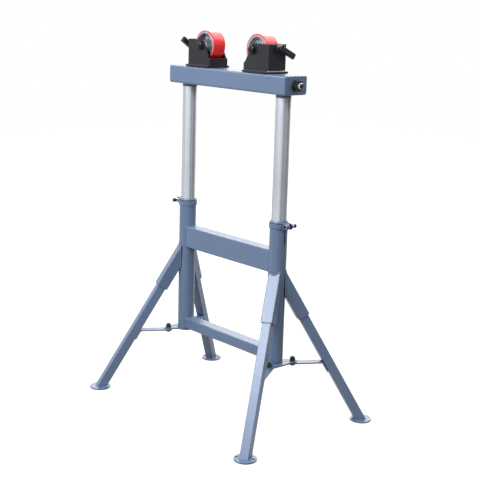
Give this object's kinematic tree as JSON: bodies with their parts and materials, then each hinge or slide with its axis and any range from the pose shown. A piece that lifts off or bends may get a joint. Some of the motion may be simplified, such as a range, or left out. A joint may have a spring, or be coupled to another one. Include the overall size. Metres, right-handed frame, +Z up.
{
  "type": "roller stand",
  "caption": "Height-adjustable pipe roller stand: splayed leg base, telescoping posts with split clamps, and a box beam with screw-adjusted braked wheels.",
  "frame": {"origin": "on the floor, midway between the four feet", "axes": "+Z up; X along the beam, right wheel toward +X; Y along the pipe that the wheels carry, front toward -Y"},
  "size_m": [0.8878, 0.6158, 1.318],
  "materials": {
    "frame_paint": "smooth blue-grey enamel",
    "black_paint": "satin black paint",
    "chrome": "bright plated steel tube",
    "zinc": "zinc-plated steel",
    "black_steel": "blackened steel",
    "cast_core": "as-cast metal, turned rim",
    "red_tyre": "smooth red polyurethane",
    "bronze": "plain machined bronze",
    "lever_plastic": "matt black plastic"
  },
  "bodies": {
    "base_frame": {"sleeve_left": "frame_paint", "sleeve_right": "frame_paint", "clamp_collar_left": "frame_paint", "clamp_collar_right": "frame_paint", "upper_rail": "frame_paint", "lower_rail": "frame_paint", "leg_socket_front_left": "frame_paint", "leg_socket_front_right": "frame_paint", "leg_socket_back_left": "frame_paint", "leg_socket_back_right": "frame_paint", "leg_front_left": "frame_paint", "leg_front_right": "frame_paint", "leg_back_left": "frame_paint", "leg_back_right": "frame_paint", "foot_front_left": "frame_paint", "foot_front_right": "frame_paint", "foot_back_left": "frame_paint", "foot_back_right": "frame_paint", "stay_plate_left": "frame_paint", "stay_plate_right": "frame_paint", "stay_strap_front_left": "frame_paint", "stay_strap_front_right": "frame_paint", "stay_strap_back_left": "frame_paint", "stay_strap_back_right": "frame_paint", "stay_bolt_front_left": "black_steel", "stay_bolt_front_right": "black_steel", "stay_bolt_back_left": "black_steel", "stay_bolt_back_right": "black_steel"},
    "head": {"post_left": "chrome", "post_right": "chrome", "beam": "frame_paint", "beam_end_left": "frame_paint", "beam_end_right": "frame_paint"},
    "adjusting_screw": {"adjusting_screw": "zinc", "adjusting_screw_nut": "black_steel", "thrust_collar": "zinc"},
    "clamp_screw_left": {"clamp_screw_left": "black_steel"},
    "carriage_left": {"block_nut_left": "bronze", "block_base_left": "black_paint", "block_bracket_left": "black_paint", "block_lip_left": "black_paint", "axle_bolt_left": "black_steel"},
    "wheel_left": {"wheel_core_left": "cast_core", "wheel_tyre_left": "red_tyre", "wheel_bearing_left": "zinc"},
    "brake_pad_left": {"brake_pad_left": "black_steel"},
    "brake_lever_left": {"brake_screw_left": "zinc", "brake_lever_left": "lever_plastic"},
    "clamp_screw_right": {"clamp_screw_right": "black_steel"},
    "carriage_right": {"block_nut_right": "bronze", "block_base_right": "black_paint", "block_bracket_right": "black_paint", "block_lip_right": "black_paint", "axle_bolt_right": "black_steel"},
    "wheel_right": {"wheel_core_right": "cast_core", "wheel_tyre_right": "red_tyre", "wheel_bearing_right": "zinc"},
    "brake_pad_right": {"brake_pad_right": "black_steel"},
    "brake_lever_right": {"brake_screw_right": "zinc", "brake_lever_right": "lever_plastic"}
  },
  "joints": [
    {"name": "head_height", "type": "slide", "parent": "base_frame", "child": "head", "axis": [0, 0, 1], "range_m": [-0.395, 0.025]},
    {"name": "adjusting_turn", "type": "hinge", "parent": "head", "child": "adjusting_screw", "pos_m": [0, 0, 1.162], "axis": [1, 0, 0], "range_deg": [-2885, 2885]},
    {"name": "clamp_turn_left", "type": "hinge", "parent": "base_frame", "child": "clamp_screw_left", "pos_m": [-0.288, 0, 0.703], "axis": [0, 1, 0], "range_deg": [0, 360]},
    {"name": "block_slide_left", "type": "slide", "parent": "head", "child": "carriage_left", "axis": [-1, 0, 0], "range_m": [-0.0401, 0.0401]},
    {"name": "wheel_turn_left", "type": "hinge", "parent": "carriage_left", "child": "wheel_left", "pos_m": [-0.1325, 0, 1.267], "axis": [0, 1, 0], "continuous": true},
    {"name": "brake_slide_left", "type": "slide", "parent": "carriage_left", "child": "brake_pad_left", "axis": [1, 0, 0], "range_m": [0, 0.0026]},
    {"name": "brake_turn_left", "type": "hinge", "parent": "brake_pad_left", "child": "brake_lever_left", "pos_m": [-0.2055, 0, 1.2515], "axis": [1, 0, 0], "range_deg": [0, 536]},
    {"name": "clamp_turn_right", "type": "hinge", "parent": "base_frame", "child": "clamp_screw_right", "pos_m": [0.288, 0, 0.703], "axis": [0, 1, 0], "range_deg": [0, 360]},
    {"name": "block_slide_right", "type": "slide", "parent": "head", "child": "carriage_right", "axis": [1, 0, 0], "range_m": [-0.04, 0.04]},
    {"name": "wheel_turn_right", "type": "hinge", "parent": "carriage_right", "child": "wheel_right", "pos_m": [0.1325, 0, 1.267], "axis": [0, 1, 0], "continuous": true},
    {"name": "brake_slide_right", "type": "slide", "parent": "carriage_right", "child": "brake_pad_right", "axis": [-1, 0, 0], "range_m": [0, 0.0026]},
    {"name": "brake_turn_right", "type": "hinge", "parent": "brake_pad_right", "child": "brake_lever_right", "pos_m": [0.2055, 0, 1.275], "axis": [-1, 0, 0], "range_deg": [0, 536]}
  ],
  "couplings": [
    {"joint": "adjusting_turn", "follows": "block_slide_right", "rad_per_m": 1256.6},
    {"joint": "block_slide_left", "follows": "block_slide_right", "ratio": 1},
    {"joint": "brake_turn_left", "follows": "brake_slide_left", "rad_per_m": 3590.4},
    {"joint": "brake_turn_right", "follows": "brake_slide_right", "rad_per_m": 3590.4}
  ]
}
